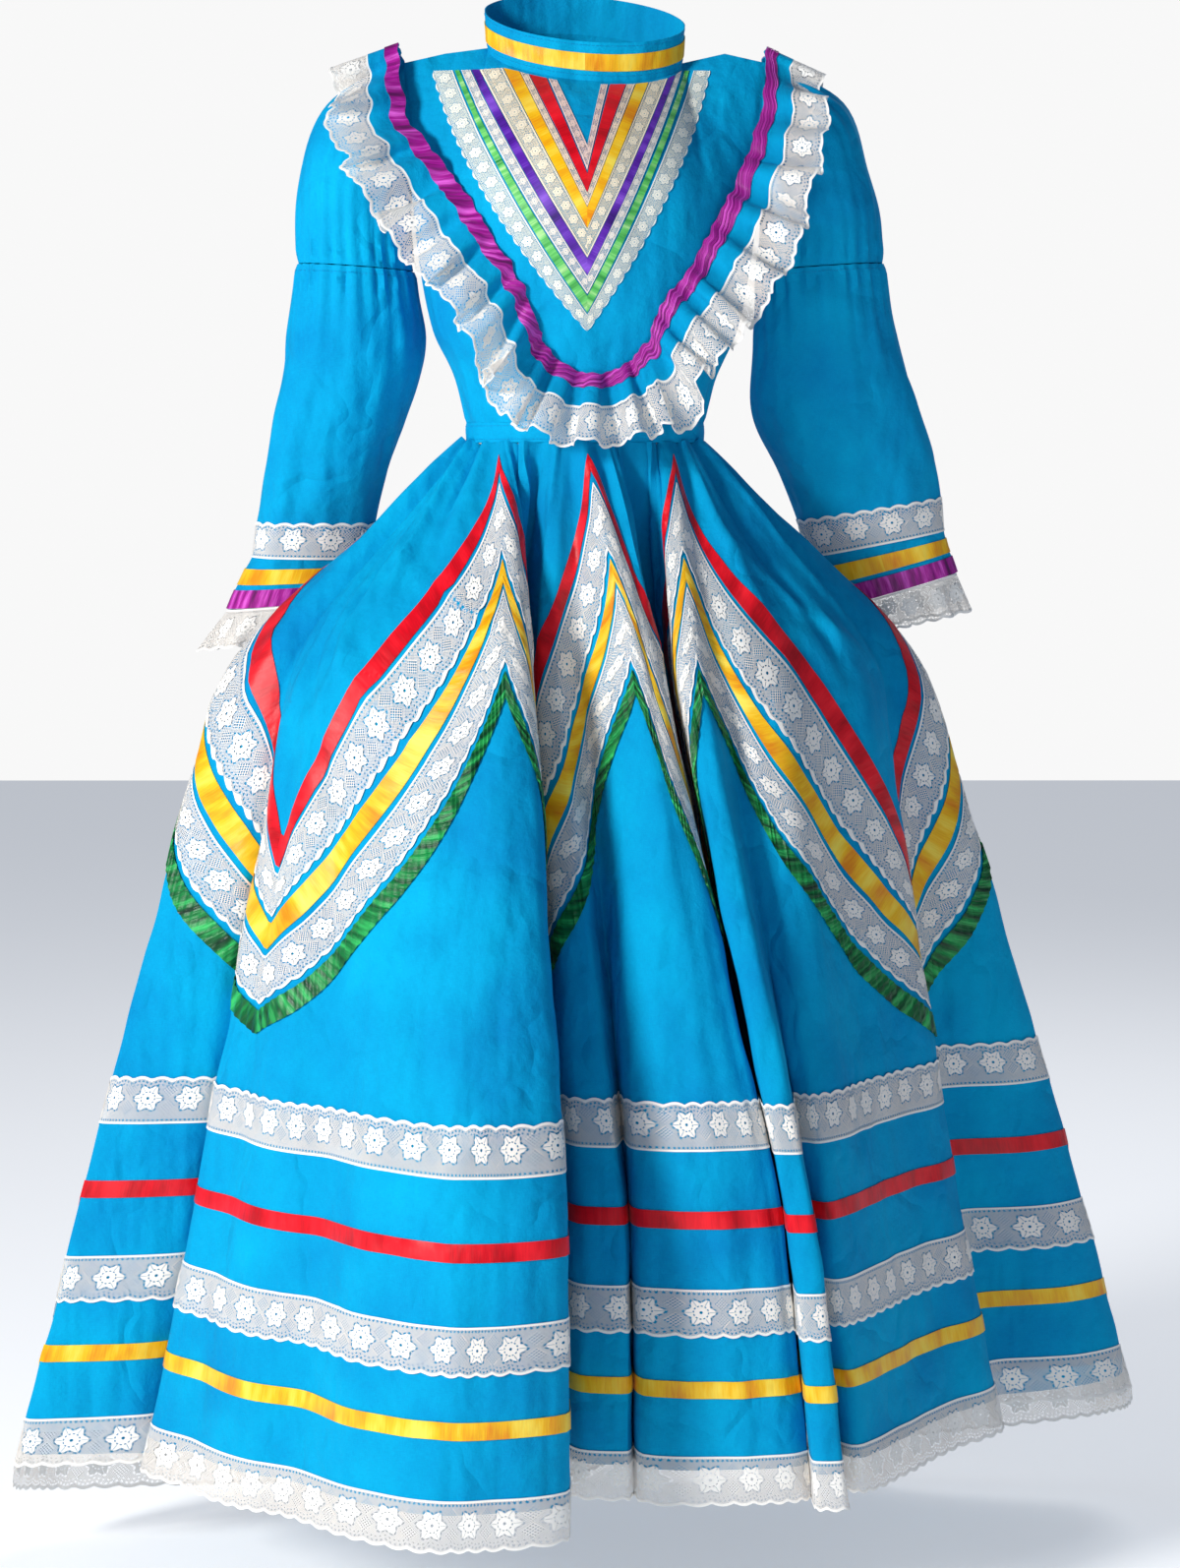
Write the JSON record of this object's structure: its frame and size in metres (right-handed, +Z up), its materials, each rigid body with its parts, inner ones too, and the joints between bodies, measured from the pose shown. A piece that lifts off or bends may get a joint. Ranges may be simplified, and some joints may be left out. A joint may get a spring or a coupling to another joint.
{
  "type": "folklorico dress, Jalisco style",
  "caption": "Full-length gathered folk dance dress with standing collar, puffed sleeves, shoulder ruffle, and zigzag and level bands of lace and ribbon on a flared skirt.",
  "frame": {"origin": "neck base, midway between the shoulders, where a neck or a form holds the dress", "axes": "+Z up, the front of the dress towards -Y, the right of the picture towards +X"},
  "size_m": [1.038, 0.6605, 1.4125],
  "materials": {
    "cloth_blue": "plain cotton weave, soft",
    "lace_white": "knitted flower lace, slightly sheer",
    "satin_red": "satin ribbon",
    "satin_yellow": "satin ribbon",
    "satin_magenta": "satin ribbon",
    "satin_green": "satin ribbon, ruched",
    "satin_purple": "satin ribbon"
  },
  "bodies": {
    "root": {"bodice_front": "cloth_blue", "bodice_back_left": "cloth_blue", "bodice_back_right": "cloth_blue", "back_placket": "cloth_blue", "collar": "cloth_blue", "collar_ribbon": "satin_yellow", "waistband": "cloth_blue", "skirt_front": "cloth_blue", "skirt_back": "cloth_blue", "chevron_ribbon_red": "satin_red", "chevron_lace_upper": "lace_white", "chevron_ribbon_yellow": "satin_yellow", "chevron_lace_lower": "lace_white", "chevron_ribbon_green": "satin_green", "skirt_lace_upper": "lace_white", "skirt_ribbon_red": "satin_red", "skirt_lace_middle": "lace_white", "skirt_ribbon_yellow": "satin_yellow", "hem_lace": "lace_white", "yoke_lace_inner": "lace_white", "yoke_ribbon_red": "satin_red", "yoke_lace_red": "lace_white", "yoke_ribbon_yellow": "satin_yellow", "yoke_lace_yellow": "lace_white", "yoke_ribbon_purple": "satin_purple", "yoke_lace_purple": "lace_white", "yoke_ribbon_green": "satin_green", "yoke_lace_outer": "lace_white", "ruffle": "cloth_blue", "ruffle_lace": "lace_white", "ruffle_ribbon": "satin_magenta", "sleeve_puff_left": "cloth_blue", "sleeve_left": "cloth_blue", "cuff_lace_left": "lace_white", "cuff_ribbon_yellow_left": "satin_yellow", "cuff_ribbon_magenta_left": "satin_magenta", "cuff_frill_left": "lace_white", "sleeve_puff_right": "cloth_blue", "sleeve_right": "cloth_blue", "cuff_lace_right": "lace_white", "cuff_ribbon_yellow_right": "satin_yellow", "cuff_ribbon_magenta_right": "satin_magenta", "cuff_frill_right": "lace_white"}
  },
  "joints": []
}
